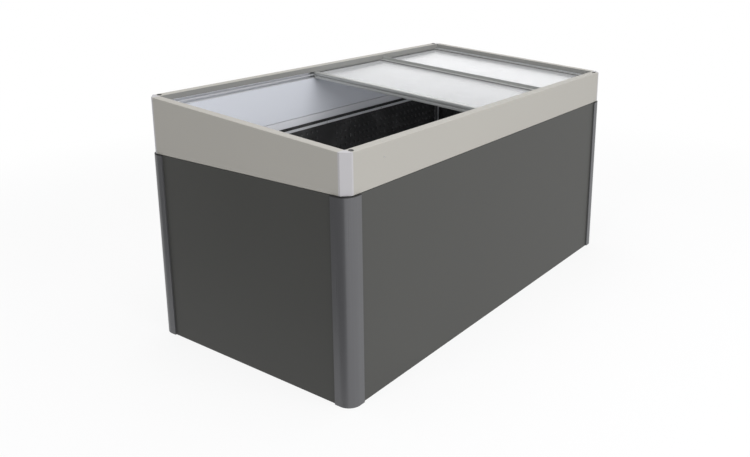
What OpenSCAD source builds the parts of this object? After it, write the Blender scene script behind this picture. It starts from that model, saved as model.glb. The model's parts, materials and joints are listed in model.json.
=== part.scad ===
// Cold frame with sliding lids on a raised sheet-metal bed.
// Millimetres. Origin on the ground under the middle of the bed: +X runs along the length,
// +Y from the low front to the high back, +Z up.

/* [Raised bed] */
// Length of the bed over its corner posts
bed_l = 2030; // [1500:10:2600]
// Width of the bed over its corner posts
bed_w = 1020; // [800:10:1400]
// Height of the bed from the ground to its top folds
bed_h = 770; // [500:10:950]
// Thickness of the folded sheet steel
sheet_t = 1.5; // [1:0.1:2]
// Depth of the bed's folds, and thickness of the cold frame's hollow walls
wall_t = 35; // [30:1:44]
// Height of the lip that hangs from each top fold
lip_h = 65; // [50:1:90]
// Part of that lip which shows above the liner
lip_show = 35; // [20:1:40]

/* [Corner posts] */
// Width of each face of a corner post
post_face = 75; // [68:1:100]
// Outer radius of a corner post
post_r = 50; // [30:1:60]
// Wall of a corner post
post_t = 2.5; // [2:0.1:3]
// How far the posts stand out from the panels
post_proud = 6; // [4:0.5:8]
// Thickness of the cap on a post
cap_t = 3; // [2:0.5:5]

/* [Bed inside] */
// Thickness of the liner
liner_t = 2; // [1:0.1:3]
// Height of the clamp strips on the liner
strip_h = 12; // [10:1:18]
// Thickness of the clamp strips
strip_t = 2; // [1.5:0.1:3]
// Width of the stiffeners in the middle of the long panels
stiffener_w = 60; // [40:1:90]
// Height of the cross tie above the ground
tie_z = 380; // [200:10:450]
// Radius of the cross tie
tie_r = 8; // [7:0.5:12]
// Spacing of the wires in the vole mesh
mesh_pitch = 100; // [60:5:150]
// Thickness of the wires in the vole mesh
wire_t = 3; // [2:0.5:4]

/* [Cold frame] */
// Height of the cold frame at its front
front_h = 147; // [120:1:200]
// Height of the cold frame at its back
back_h = 229; // [200:1:300]
// Thickness of the seal under the cold frame
seal_t = 2; // [1:0.5:4]
// Leg of the chamfer on the cold frame's corners
chamfer = 28; // [15:1:32]
// Wall of the corner connectors
corner_t = 2; // [1.5:0.5:3]
// Height of the rim's inner face, above the tracks
nose_h = 22; // [16:1:30]
// Bend radius along the rim
bend_r = 3; // [1:0.5:4]
// Radius of the round plugs near the rim's corners
plug_r = 9; // [7:0.5:11]

/* [Tracks and lids] */
// Clear height of each track groove
groove_h = 12; // [11:0.5:16]
// Thickness of the ledges that carry the lids
ledge_t = 3; // [2:0.5:4]
// Length of each lid along the bed
lid_l = 1048; // [900:1:1200]
// How far a lid's side rails reach out of the tracks
rail_show = 6; // [4:1:14]
// Height of a lid's side rails
rail_h = 10; // [9:0.5:10]
// Width of a lid's end bars
bar_w = 24; // [20:1:32]
// Width of a lid's middle bar
middle_w = 24; // [22:1:40]
// Height of a lid's bars
bar_h = 13; // [11:0.5:13]
// Height of the finger pull that stands on the upper lid's middle bar
pull_h = 13; // [8:1:18]
// Thickness of the panes
pane_t = 4; // [3:0.5:5]
// Thickness of the gaskets round the panes
gasket_t = 1; // [0.5:0.1:1.2]
// How far the gaskets show beyond the bars
gasket_show = 6; // [2:1:9]

/* [Hidden] */
$fn = 48;

// Clearances: between seated sheets, round a screw in its hole, and round a thread
gap = 0.3;
hole_gap = 0.2;
thread_gap = 0.05;
// How far two shapes of one solid run into each other
merge = 0.1;
// Overrun of a cutting shape past the face that it cuts
over = 1;

// Raised bed
rib_gap = gap + post_t;
panel_gap = 10;
panel_in = wall_t + panel_gap;
rib_in = panel_in - rib_gap;
flange_d = wall_t - 7;
rib_d = post_proud + flange_d;
bolt_in = post_proud + sheet_t + flange_d / 2;
bolt_r = 3;
bolt_head_r = 5.5;
bolt_head_h = 4;
bolt_out = 1;
nut_r = 5.8;
nut_h = 5;
bolt_z = [bed_h * 0.12, bed_h * 0.45, bed_h * 0.8];
face_x = bed_l / 2 - post_proud;
face_y = bed_w / 2 - post_proud;
foot_w = 20;
mesh_gap = 1;
stiffener_low = sheet_t + wire_t + gap;
stiffener_top = 5;
washer_r = tie_r * 2;
washer_t = 3;
tie_bolt_r = 4;
tie_thread = 25;
tie_head_r = 7;
tie_head_h = 5;
liner_low = 8;
liner_r = 20;
strip_low = bed_h - lip_h + 4;
strip_z = strip_low + strip_h / 2;
screw_r = 2;
screw_head_r = 4;
screw_head_h = 2.4;
screw_out = 3;
strip_end = 45;
strip_long = [-0.9, -0.45, 0, 0.45, 0.9];
strip_short = [-0.85, 0, 0.85];

// Cold frame
z0 = bed_h + seal_t;
z_front = bed_h + front_h;
z_back = bed_h + back_h;
slope = atan((z_back - z_front) / (2 * face_y));
seal_in = 6;
seal_w = 11;
bend_steps = 6;
corner_e = wall_t + 1;
leg_in = seal_in + seal_w + 1;
leg_cut = chamfer + seal_in * sqrt(2) + 9;
leg_w = corner_e - corner_t / 2 - leg_in;
leg_gap = 0.5;
leg_down = 60;
leg_up = 50;
tongue_l = 34;
tongue_t = 2.5;
tongue_low = z0 + 8;
tongue_h = 72;
corner_screw_z = [z0 + 22, z0 + 62];
corner_screw_in = corner_e + 20;
corner_screw_r = 2.5;
corner_head_r = 4.5;
corner_head_h = 2.5;
corner_screw_out = 1;
plug_stem_r = plug_r - 3;
plug_in = corner_e + plug_r + 2;
plug_h = 2;
plug_d = 8;

// Tracks: each value is a depth below the rim, measured straight down
web_in = 7;
web_t = 2;
top_ledge = 2;
upper_top = nose_h;
upper_low = upper_top + groove_h;
lower_top = upper_low + ledge_t;
lower_low = lower_top + groove_h;
track_low = lower_low + ledge_t;
shelf = track_low + gap;
track_x = face_x - corner_e;
stop_t = 4;
rivet_r = 2;
rivet_count = 5;
rivet_gap = 0.2;
rivet_head_h = 1.5;

// Lids, in a frame that lies on the rim's slope
roof_w = 2 * face_y / cos(slope);
lid_gap = 0.5;
rail_in = web_in + web_t + 4;
rail_end = wall_t + rail_show;
rail_w = rail_end - rail_in;
lid_far = track_x - stop_t - lid_gap;
lid_near = lid_far - lid_l;
lid_mid = (lid_near + lid_far) / 2;
pane_top = 3;
slot_top = pane_top - gasket_t;
slot_h = pane_t + 2 * gasket_t;
slot_d = 9;
pane_in = slot_d - gasket_t;
rail_skin = 2;
pull_t = 3;
lid_screw_l = rail_w + 16;
lid_screw_head_r = 3.6;
lid_screw_head_h = 1.2;
end_screw_x = 7;
glider_l = 40;
glider_w = 14;
glider_end = 60;
glider_in = 3;
glider_t = groove_h - lid_gap - rail_h - gap;
lid_drops = [upper_top + lid_gap, lower_top + lid_gap];

SIDES = [-1, 1];
LIGHT = [0.72, 0.71, 0.68];
DARK = [0.25, 0.26, 0.26];
BLACK = [0.05, 0.05, 0.05];
ZINC = [0.62, 0.63, 0.65];

// ---------- helpers ----------

// Height of the rim at y
function roof_z(y) = z_front + (z_back - z_front) * (y + face_y) / (2 * face_y);

// y at a depth into the front (side -1) or back (side 1) wall
function wall_y(side, depth) = side * (face_y - depth);

// Point of a wall's section: depth into the wall, and drop below the rim
function rim_point(side, depth, drop) = [wall_y(side, depth), roof_z(wall_y(side, depth)) - drop];

// Places a shape drawn from a corner at the origin, with the inside towards +X and +Y
module at_corner(sx, sy, x, y) {
    translate([sx * x, sy * y, 0])
        mirror([sx > 0 ? 1 : 0, 0, 0])
            mirror([0, sy > 0 ? 1 : 0, 0])
                children();
}

// Extrudes a section drawn in Y and Z along X
module along_x(x_from, x_to) {
    translate([x_from, 0, 0])
        rotate([90, 0, 90])
            linear_extrude(x_to - x_from)
                children();
}

// Extrudes a section drawn in X and Z along Y
module along_y(y_from, y_to) {
    translate([0, y_to, 0])
        rotate([90, 0, 0])
            linear_extrude(y_to - y_from)
                children();
}

// Swaps X and Y, which carries a front-panel feature to a side panel
module swapped() {
    mirror([1, -1, 0]) children();
}

module rod_x(r, l) {
    rotate([0, 90, 0]) cylinder(r = r, h = l);
}

module rod_y(r, l) {
    rotate([-90, 0, 0]) cylinder(r = r, h = l);
}

// Puts a shape on the rim's slope, lowered straight down by drop
module on_roof(drop) {
    translate([0, -face_y, z_front - drop])
        rotate([slope, 0, 0])
            children();
}

// ---------- raised bed ----------

module rounded_square(l, r) {
    translate([r, 0]) square([l - r, l]);
    translate([0, r]) square([l, l - r]);
    intersection() {
        square(l);
        translate([r, r]) circle(r = r, $fn = 96);
    }
}

module rounded_rect(l, w, r) {
    square([l - 2 * r, w], center = true);
    square([l, w - 2 * r], center = true);
    for (sx = SIDES, sy = SIDES)
        translate([sx * (l / 2 - r), sy * (w / 2 - r)]) circle(r = r);
}

// Everything in a post's section that belongs to one of its two faces
module post_half() {
    translate([post_face - post_t, post_t - merge]) square([post_t, post_proud - post_t - gap + merge]);
    translate([rib_in, post_t - merge]) square([post_t, rib_d - post_t + merge]);
}

module post_section() {
    difference() {
        rounded_square(post_face, post_r);
        translate([post_t, post_t]) rounded_square(post_face, post_r - post_t);
    }
    post_half();
    mirror([1, -1]) post_half();
}

// Places a bolt hole or a bolt, along X, on the ribs of one post
module on_ribs() {
    for (z = bolt_z) {
        translate([rib_in, bolt_in, z]) children();
        swapped() translate([rib_in, bolt_in, z]) children();
    }
}

module post(sx, sy) {
    color(DARK)
        at_corner(sx, sy, bed_l / 2, bed_w / 2)
            difference() {
                linear_extrude(bed_h - cap_t) post_section();
                on_ribs() translate([-over, 0, 0]) rod_x(bolt_r + hole_gap, post_t + 2 * over);
            }
}

module post_cap(sx, sy) {
    hole = leg_in + post_proud - leg_gap;
    color(BLACK)
        at_corner(sx, sy, bed_l / 2, bed_w / 2)
            translate([0, 0, bed_h - cap_t])
                difference() {
                    linear_extrude(cap_t)
                        intersection() {
                            rounded_square(post_face, post_r);
                            union() {
                                square(panel_in - gap);
                                square([post_face, post_proud - gap]);
                                square([post_proud - gap, post_face]);
                            }
                        }
                    translate([hole, hole, -over])
                        cube([leg_w + 2 * leg_gap, leg_w + 2 * leg_gap, cap_t + 2 * over]);
                }
}

module post_bolts() {
    color(ZINC)
        for (sx = SIDES, sy = SIDES)
            at_corner(sx, sy, bed_l / 2, bed_w / 2)
                on_ribs() {
                    translate([-bolt_head_h, 0, 0]) rod_x(bolt_head_r, bolt_head_h);
                    translate([-over, 0, 0]) rod_x(bolt_r, over + rib_gap + sheet_t + nut_h + bolt_out);
                }
}

module post_nuts() {
    color(ZINC)
        for (sx = SIDES, sy = SIDES)
            at_corner(sx, sy, bed_l / 2, bed_w / 2)
                on_ribs()
                    translate([rib_gap + sheet_t, 0, 0])
                        difference() {
                            rotate([0, 90, 0]) cylinder(r = nut_r, h = nut_h, $fn = 6);
                            translate([-over, 0, 0]) rod_x(bolt_r + thread_gap, nut_h + 2 * over);
                        }
}

// Screw positions along the top lip of a panel of length l
module on_lip(l, places) {
    for (p = places)
        translate([p * l / 2, 0, strip_z]) children();
}

// A folded panel, its outer face at y = 0 and its inside towards +Y
module panel_shape(l, places) {
    color(DARK)
        difference() {
            union() {
                translate([-l / 2, 0, 0]) cube([l, sheet_t, bed_h]);
                translate([-l / 2, 0, 0]) cube([l, wall_t, sheet_t]);
                translate([-l / 2, 0, bed_h - sheet_t]) cube([l, wall_t, sheet_t]);
                translate([-l / 2, wall_t - sheet_t, bed_h - lip_h]) cube([l, sheet_t, lip_h]);
                for (s = SIDES)
                    translate([s * (l - sheet_t) / 2 - sheet_t / 2, 0, 0]) cube([sheet_t, flange_d, bed_h]);
            }
            for (s = SIDES, z = bolt_z)
                translate([s * l / 2 - 2 * sheet_t, bolt_in - post_proud, z])
                    rod_x(bolt_r + hole_gap, 4 * sheet_t);
            on_lip(l, places)
                translate([0, wall_t - sheet_t - over, 0]) rod_y(screw_r + hole_gap, sheet_t + 2 * over);
        }
}

module long_panel(side) {
    mirror([0, side > 0 ? 1 : 0, 0])
        translate([0, -face_y, 0])
            panel_shape(bed_l - 2 * panel_in, strip_long);
}

module short_panel(side) {
    mirror([side > 0 ? 1 : 0, 0, 0])
        swapped()
            translate([0, -face_x, 0])
                panel_shape(bed_w - 2 * panel_in, strip_short);
}

// A stiffener stands on the vole mesh and is welded to its panel by two feet
module stiffener(side) {
    h = bed_h - lip_h - stiffener_top - stiffener_low;
    color(ZINC)
        mirror([0, side > 0 ? 1 : 0, 0])
            translate([0, -face_y, stiffener_low])
                difference() {
                    union() {
                        translate([-stiffener_w / 2, wall_t - sheet_t, 0]) cube([stiffener_w, sheet_t, h]);
                        for (s = SIDES) {
                            translate([s * (stiffener_w - sheet_t) / 2 - sheet_t / 2, sheet_t, 0])
                                cube([sheet_t, wall_t - sheet_t, h]);
                            translate([s * (stiffener_w + foot_w) / 2 - s * sheet_t / 2 - foot_w / 2, sheet_t, 0])
                                cube([foot_w, sheet_t, h]);
                        }
                    }
                    translate([0, wall_t - sheet_t - over, tie_z - stiffener_low])
                        rod_y(tie_bolt_r + hole_gap, sheet_t + 2 * over);
                }
}

// y of the cross tie's end, on the bed's side of the liner
tie_y = face_y - wall_t - liner_t - 2 * gap;

module cross_tie() {
    color(ZINC)
        difference() {
            union() {
                translate([0, -tie_y, tie_z]) rod_y(tie_r, 2 * tie_y);
                for (s = SIDES)
                    translate([0, s > 0 ? tie_y - washer_t : -tie_y, tie_z]) rod_y(washer_r, washer_t);
            }
            translate([0, -tie_y - over, tie_z]) rod_y(tie_bolt_r + thread_gap, 2 * tie_y + 2 * over);
        }
}

module tie_bolts() {
    grip = wall_t - sheet_t;
    color(ZINC)
        for (s = SIDES)
            mirror([0, s > 0 ? 1 : 0, 0])
                translate([0, -face_y + grip, tie_z]) {
                    translate([0, -tie_head_h, 0]) rod_y(tie_head_r, tie_head_h);
                    translate([0, -over, 0]) rod_y(tie_bolt_r, over + face_y - grip - tie_y + tie_thread);
                }
}

// Places a shape for a strip screw, pointing outwards through strip, liner and lip
module on_strips() {
    for (s = SIDES) {
        mirror([0, s > 0 ? 1 : 0, 0])
            translate([0, -face_y, 0])
                on_lip(bed_l - 2 * panel_in, strip_long) translate([0, wall_t, 0]) children();
        mirror([s > 0 ? 1 : 0, 0, 0])
            swapped()
                translate([0, -face_x, 0])
                    on_lip(bed_w - 2 * panel_in, strip_short) translate([0, wall_t, 0]) children();
    }
}

module liner() {
    in = wall_t + gap;
    color(BLACK)
        difference() {
            translate([0, 0, liner_low])
                linear_extrude(bed_h - lip_show - liner_low)
                    difference() {
                        rounded_rect(2 * (face_x - in), 2 * (face_y - in), liner_r);
                        rounded_rect(2 * (face_x - in - liner_t), 2 * (face_y - in - liner_t), liner_r - liner_t);
                    }
            on_strips() translate([0, -over, 0]) rod_y(screw_r + hole_gap, liner_t + gap + 2 * over);
            translate([0, -face_y, tie_z]) rod_y(tie_bolt_r + hole_gap, 2 * face_y);
        }
}

module strip(l) {
    translate([-l / 2, wall_t + gap + liner_t + gap, strip_low]) cube([l, strip_t, strip_h]);
}

module liner_strips() {
    color(ZINC)
        difference() {
            for (s = SIDES) {
                mirror([0, s > 0 ? 1 : 0, 0])
                    translate([0, -face_y, 0]) strip(2 * (face_x - wall_t - strip_end));
                mirror([s > 0 ? 1 : 0, 0, 0])
                    swapped()
                        translate([0, -face_x, 0]) strip(2 * (face_y - wall_t - strip_end));
            }
            on_strips() rod_y(screw_r + hole_gap, liner_t + strip_t + 2 * gap + over);
        }
}

module strip_screws() {
    seat = liner_t + strip_t + 2 * gap;
    color(ZINC)
        on_strips() {
            translate([0, seat, 0]) rod_y(screw_head_r, screw_head_h);
            translate([0, -sheet_t - screw_out, 0]) rod_y(screw_r, sheet_t + screw_out + seat + merge);
        }
}

// Welded mesh that lies on the panels' bottom folds, clear of their side flanges
module vole_mesh() {
    l = 2 * (face_x - flange_d - mesh_gap);
    w = 2 * (face_y - flange_d - mesh_gap);
    nx = floor(l / mesh_pitch);
    ny = floor(w / mesh_pitch);
    step_x = (l - wire_t) / nx;
    step_y = (w - wire_t) / ny;
    color(ZINC)
        translate([0, 0, sheet_t])
            linear_extrude(wire_t)
                difference() {
                    square([l, w], center = true);
                    for (i = [0 : nx - 1], j = [0 : ny - 1])
                        translate([(i - (nx - 1) / 2) * step_x, (j - (ny - 1) / 2) * step_y])
                            square([step_x - wire_t, step_y - wire_t], center = true);
                }
}

// ---------- cold frame ----------

// Rectangle with chamfered corners, set in from the cold frame's outline
module chamfered_rect(inset, c) {
    x = face_x - inset;
    y = face_y - inset;
    polygon([
        [-x, -y + c], [-x + c, -y], [x - c, -y], [x, -y + c],
        [x, y - c], [x - c, y], [-x + c, y], [-x, y - c]
    ]);
}

module frame_seal() {
    color(BLACK)
        translate([0, 0, bed_h])
            linear_extrude(seal_t)
                difference() {
                    chamfered_rect(seal_in, chamfer - seal_in * (2 - sqrt(2)));
                    chamfered_rect(seal_in + seal_w, leg_cut - 2 * (seal_in + seal_w) - gap);
                }
}

// Sheet that follows the rim, between two depths and two drops
module band(side, a, b, top, low) {
    polygon([
        rim_point(side, a, top), rim_point(side, b, top),
        rim_point(side, b, low), rim_point(side, a, low)
    ]);
}

// Rounded outer edge of the rim, from the side to the top, round its centre
function bend(side, x, z) = [
    for (i = [0 : bend_steps])
        [x + side * bend_r * cos(90 * i / bend_steps), z + bend_r * sin(90 * i / bend_steps)]
];

module long_wall_section(side) {
    bend_y = wall_y(side, bend_r);
    inner = wall_t - sheet_t;
    difference() {
        polygon(concat(
            [[wall_y(side, 0), z0]],
            bend(side, bend_y, roof_z(bend_y) - bend_r / cos(slope)),
            [rim_point(side, wall_t, 0), [wall_y(side, wall_t), z0]]
        ));
        band(side, sheet_t, inner, sheet_t, shelf);
        band(side, inner - over, wall_t + over, nose_h, shelf);
        polygon([
            [wall_y(side, sheet_t), z0 + sheet_t], [wall_y(side, inner), z0 + sheet_t],
            rim_point(side, inner, shelf + sheet_t), rim_point(side, sheet_t, shelf + sheet_t)
        ]);
    }
}

// Places a shape for a corner screw, pointing outwards through a wall's inner skin
module on_corner_screws(sx, sy) {
    at_corner(sx, sy, face_x, face_y)
        for (z = corner_screw_z) {
            translate([corner_screw_in, wall_t, z]) children();
            swapped() translate([corner_screw_in, wall_t, z]) children();
        }
}

module corner_screw_holes() {
    for (sx = SIDES, sy = SIDES)
        on_corner_screws(sx, sy)
            translate([0, -sheet_t - over, 0]) rod_y(corner_screw_r + hole_gap, sheet_t + 2 * over);
}

// Places a shape on the rim at each plug
module on_plugs() {
    for (sx = SIDES, sy = SIDES)
        translate([sx * (face_x - plug_in), wall_y(sy, wall_t / 2), roof_z(wall_y(sy, wall_t / 2))])
            rotate([slope, 0, 0])
                children();
}

// Places a shape for a track rivet at the top of the track's lowest ledge
module on_rivets(side) {
    for (i = [0 : rivet_count - 1])
        translate([
            (i - (rivet_count - 1) / 2) * 2 * track_x / rivet_count,
            wall_y(side, wall_t / 2),
            roof_z(wall_y(side, wall_t / 2)) - lower_low
        ])
            rotate([slope, 0, 0])
                children();
}

module long_wall(side) {
    color(LIGHT)
        difference() {
            along_x(-track_x, track_x) long_wall_section(side);
            corner_screw_holes();
            on_plugs() translate([0, 0, -3 * sheet_t]) cylinder(r = plug_stem_r + hole_gap, h = 6 * sheet_t);
            on_rivets(side) translate([0, 0, -4 * ledge_t]) cylinder(r = rivet_r + hole_gap, h = 4 * ledge_t);
        }
}

// Hollow section of an end wall in X and Z, below a rim at 0
module short_wall_section(side) {
    low = -back_h - wall_t;
    x = side * face_x;
    difference() {
        polygon(concat(
            [[x, low]],
            bend(side, x - side * bend_r, -bend_r),
            [[x - side * wall_t, 0], [x - side * wall_t, low]]
        ));
        polygon([
            [x - side * sheet_t, low - over], [x - side * sheet_t, -sheet_t],
            [x - side * (wall_t - sheet_t), -sheet_t], [x - side * (wall_t - sheet_t), low - over]
        ]);
    }
}

module short_wall(side) {
    y = face_y - corner_e;
    color(LIGHT)
        difference() {
            union() {
                intersection() {
                    on_roof(0) along_y(-wall_t, roof_w + wall_t) short_wall_section(side);
                    translate([-bed_l, -y, z0]) cube([2 * bed_l, 2 * y, back_h + wall_t]);
                }
                translate([side > 0 ? face_x - wall_t : -face_x, -y, z0]) cube([wall_t, 2 * y, sheet_t]);
            }
            corner_screw_holes();
        }
}

// Everything under the rim, lowered by drop
module under_roof(drop) {
    along_x(-bed_l, bed_l)
        polygon([
            [-bed_w, z0 - leg_down - over], [bed_w, z0 - leg_down - over],
            [bed_w, roof_z(bed_w) - drop], [-bed_w, roof_z(-bed_w) - drop]
        ]);
}

// One tongue of a corner connector, inside the wall along X
module tongue() {
    translate([corner_e - corner_t, wall_t - sheet_t - gap - tongue_t, tongue_low])
        difference() {
            cube([tongue_l + corner_t, tongue_t, tongue_h]);
            for (z = corner_screw_z)
                translate([corner_screw_in - corner_e + corner_t, -over, z - tongue_low])
                    rod_y(corner_screw_r + thread_gap, tongue_t + 2 * over);
        }
}

module corner(sx, sy) {
    k = corner_t * (sqrt(2) - 1);
    in = corner_e - corner_t;
    color(LIGHT) {
        intersection() {
            at_corner(sx, sy, face_x, face_y)
                translate([0, 0, z0])
                    linear_extrude(back_h + wall_t)
                        difference() {
                            polygon([
                                [0, chamfer], [chamfer, 0], [corner_e, 0],
                                [corner_e, corner_e], [0, corner_e]
                            ]);
                            polygon([
                                [corner_t, chamfer + k], [chamfer + k, corner_t], [in, corner_t],
                                [in, in], [corner_t, in]
                            ]);
                        }
            under_roof(0);
        }
        intersection() {
            at_corner(sx, sy, face_x, face_y)
                translate([0, 0, z0 + leg_up])
                    linear_extrude(back_h + wall_t)
                        polygon([
                            [0, chamfer], [chamfer, 0], [corner_e, 0],
                            [corner_e, corner_e], [0, corner_e]
                        ]);
            difference() {
                under_roof(0);
                under_roof(corner_t);
            }
        }
        at_corner(sx, sy, face_x, face_y) {
            translate([0, 0, z0 - leg_down])
                linear_extrude(leg_down + leg_up)
                    polygon([
                        [leg_cut - leg_in, leg_in], [leg_in + leg_w, leg_in], [leg_in + leg_w, leg_in + leg_w],
                        [leg_in, leg_in + leg_w], [leg_in, leg_cut - leg_in]
                    ]);
            tongue();
            swapped() tongue();
        }
    }
}

module corner_screws() {
    color(ZINC)
        for (sx = SIDES, sy = SIDES)
            on_corner_screws(sx, sy) {
                rod_y(corner_head_r, corner_head_h);
                translate([0, -sheet_t - gap - tongue_t - corner_screw_out, 0])
                    rod_y(corner_screw_r, sheet_t + gap + tongue_t + corner_screw_out + merge);
            }
}

module rim_plugs() {
    color(BLACK)
        on_plugs() {
            cylinder(r1 = plug_r, r2 = plug_r - plug_h / 2, h = plug_h);
            translate([0, 0, -plug_d]) cylinder(r = plug_stem_r, h = plug_d + merge);
        }
}

module track(side) {
    color(ZINC)
        difference() {
            along_x(-track_x, track_x)
                difference() {
                    band(side, web_in, wall_t, nose_h - top_ledge, track_low);
                    band(side, web_in + web_t, wall_t + over, upper_top, upper_low);
                    band(side, web_in + web_t, wall_t + over, lower_top, lower_low);
                    band(side, wall_t - sheet_t - gap, wall_t + over, 0, upper_low);
                }
            on_rivets(side) translate([0, 0, -2 * ledge_t]) cylinder(r = rivet_r + hole_gap, h = 3 * ledge_t);
        }
}

module track_rivets() {
    through = ledge_t + gap + sheet_t + rivet_gap;
    color(ZINC)
        for (side = SIDES)
            on_rivets(side) {
                translate([0, 0, -through]) cylinder(r = rivet_r, h = through - rivet_gap);
                translate([0, 0, -through - rivet_head_h]) cylinder(r = 2 * rivet_r, h = rivet_head_h);
            }
}

module track_stops() {
    in = web_in + web_t;
    color(BLACK)
        for (side = SIDES, end = SIDES)
            along_x(end > 0 ? track_x - stop_t : -track_x, end > 0 ? track_x : -track_x + stop_t) {
                band(side, in, wall_t - 1, upper_top, upper_low);
                band(side, in, wall_t - 1, lower_top, lower_low);
            }
}

// ---------- lids ----------

// Section of a side rail, in the slope's own Y and Z, with its top at 0
module rail_section() {
    difference() {
        translate([rail_in, -rail_h]) square([rail_w, rail_h]);
        translate([rail_end - slot_d, -slot_top - slot_h]) square([slot_d + over, slot_h]);
        translate([rail_in + rail_skin, -rail_h + rail_skin])
            square([rail_w - slot_d - 2 * rail_skin, rail_h - 2 * rail_skin]);
    }
}

// x of the screws that join the rails to the three bars
lid_screw_x = [lid_near + end_screw_x, lid_mid, lid_far - end_screw_x];

// Mirrors a shape from the front to the back of the sloping frame
module at_rail(side) {
    translate([0, side > 0 ? roof_w : 0, 0])
        mirror([0, side > 0 ? 1 : 0, 0])
            children();
}

module rail(level, side) {
    color(ZINC)
        on_roof(lid_drops[level])
            at_rail(side)
                difference() {
                    along_x(lid_near, lid_far) rail_section();
                    for (x = lid_screw_x)
                        translate([x, rail_in - over, -rail_h / 2]) rod_y(screw_r + hole_gap, rail_w + 2 * over);
                }
}

// A bar from x_from, with pane slots on the listed sides and a finger pull on its far edge
module bar(level, x_from, w, slots, pull) {
    bar_l = roof_w - 2 * rail_end;
    color(ZINC)
        on_roof(lid_drops[level])
            difference() {
                union() {
                    translate([x_from, rail_end, -bar_h]) cube([w, bar_l, bar_h]);
                    if (pull > 0)
                        translate([x_from + w - pull_t, rail_end, -slot_top]) cube([pull_t, bar_l, slot_top + pull]);
                }
                for (s = slots)
                    translate([
                        s > 0 ? x_from + w - slot_d : x_from - over,
                        rail_end - over,
                        -slot_top - slot_h
                    ])
                        cube([slot_d + over, bar_l + 2 * over, slot_h]);
                for (side = SIDES, x = lid_screw_x)
                    at_rail(side)
                        translate([x, rail_end - over, -rail_h / 2])
                            rod_y(screw_r + thread_gap, lid_screw_l - rail_w + 1 + over);
            }
}

// x of the near end of each pane, and the length of a pane
pane_l = lid_mid - middle_w / 2 - lid_near - bar_w + 2 * pane_in;
pane_x = [lid_near + bar_w - pane_in, lid_mid + middle_w / 2 - pane_in];

// A plate round a pane, grown by edge and by face, and cut in by inset
module pane_plate(i, edge, face) {
    translate([pane_x[i] - edge, rail_end - pane_in - edge, -pane_top - pane_t - face])
        cube([pane_l + 2 * edge, roof_w - 2 * (rail_end - pane_in) + 2 * edge, pane_t + 2 * face]);
}

module pane(level, i) {
    color([0.9, 0.92, 0.94, 0.6])
        on_roof(lid_drops[level]) pane_plate(i, 0, 0);
}

module gaskets(level) {
    color(BLACK)
        on_roof(lid_drops[level])
            for (i = [0, 1])
                difference() {
                    pane_plate(i, gasket_t, gasket_t);
                    pane_plate(i, 0, 0);
                    pane_plate(i, -pane_in - gasket_show, gasket_t + over);
                }
}

module gliders(level) {
    color(BLACK)
        on_roof(lid_drops[level])
            for (side = SIDES, x = [lid_near + glider_end, lid_far - glider_end - glider_l])
                at_rail(side)
                    translate([x, rail_in + glider_in, -rail_h - glider_t])
                        cube([glider_l, glider_w, glider_t]);
}

module lid_screws(level) {
    color(ZINC)
        on_roof(lid_drops[level])
            for (side = SIDES, x = lid_screw_x)
                at_rail(side)
                    translate([x, rail_in, -rail_h / 2]) {
                        translate([0, -lid_screw_head_h, 0]) rod_y(lid_screw_head_r, lid_screw_head_h);
                        rod_y(screw_r, lid_screw_l);
                    }
}

module middle_bar(level, pull) {
    bar(level, lid_mid - middle_w / 2, middle_w, [-1, 1], pull);
}

module end_bar(level, far) {
    if (far)
        bar(level, lid_far - bar_w, bar_w, [-1], 0);
    else
        bar(level, lid_near, bar_w, [1], 0);
}

post(-1, -1);  // post_front_left
post(1, -1);  // post_front_right
post(-1, 1);  // post_back_left
post(1, 1);  // post_back_right
post_cap(-1, -1);  // post_cap_front_left
post_cap(1, -1);  // post_cap_front_right
post_cap(-1, 1);  // post_cap_back_left
post_cap(1, 1);  // post_cap_back_right
long_panel(-1);  // panel_front
long_panel(1);  // panel_back
short_panel(-1);  // panel_left
short_panel(1);  // panel_right
post_bolts();
post_nuts();
stiffener(-1);  // stiffener_front
stiffener(1);  // stiffener_back
cross_tie();
tie_bolts();
liner();
liner_strips();
strip_screws();
vole_mesh();
frame_seal();
long_wall(-1);  // wall_front
long_wall(1);  // wall_back
short_wall(-1);  // wall_left
short_wall(1);  // wall_right
corner(-1, -1);  // corner_front_left
corner(1, -1);  // corner_front_right
corner(-1, 1);  // corner_back_left
corner(1, 1);  // corner_back_right
corner_screws();
rim_plugs();
track(-1);  // track_front
track(1);  // track_back
track_rivets();
track_stops();
rail(0, -1);  // upper_rail_front
rail(0, 1);  // upper_rail_back
end_bar(0, false);  // upper_bar_near
middle_bar(0, pull_h);  // upper_bar_middle
end_bar(0, true);  // upper_bar_far
pane(0, 0);  // upper_pane_near
pane(0, 1);  // upper_pane_far
gaskets(0);  // upper_gaskets
gliders(0);  // upper_gliders
lid_screws(0);  // upper_screws
rail(1, -1);  // lower_rail_front
rail(1, 1);  // lower_rail_back
end_bar(1, false);  // lower_bar_near
middle_bar(1, 0);  // lower_bar_middle
end_bar(1, true);  // lower_bar_far
pane(1, 0);  // lower_pane_near
pane(1, 1);  // lower_pane_far
gaskets(1);  // lower_gaskets
gliders(1);  // lower_gliders
lid_screws(1);  // lower_screws
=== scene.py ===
"""Cold frame with sliding lids on a raised sheet-metal bed: its finishes, shaped pieces and studio."""

import json
import logging
import math
from collections.abc import Callable, Iterator
from contextlib import contextmanager
from dataclasses import dataclass
from enum import Enum
from typing import Protocol

import bmesh
import bpy
from mathutils import Matrix, Vector


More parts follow.
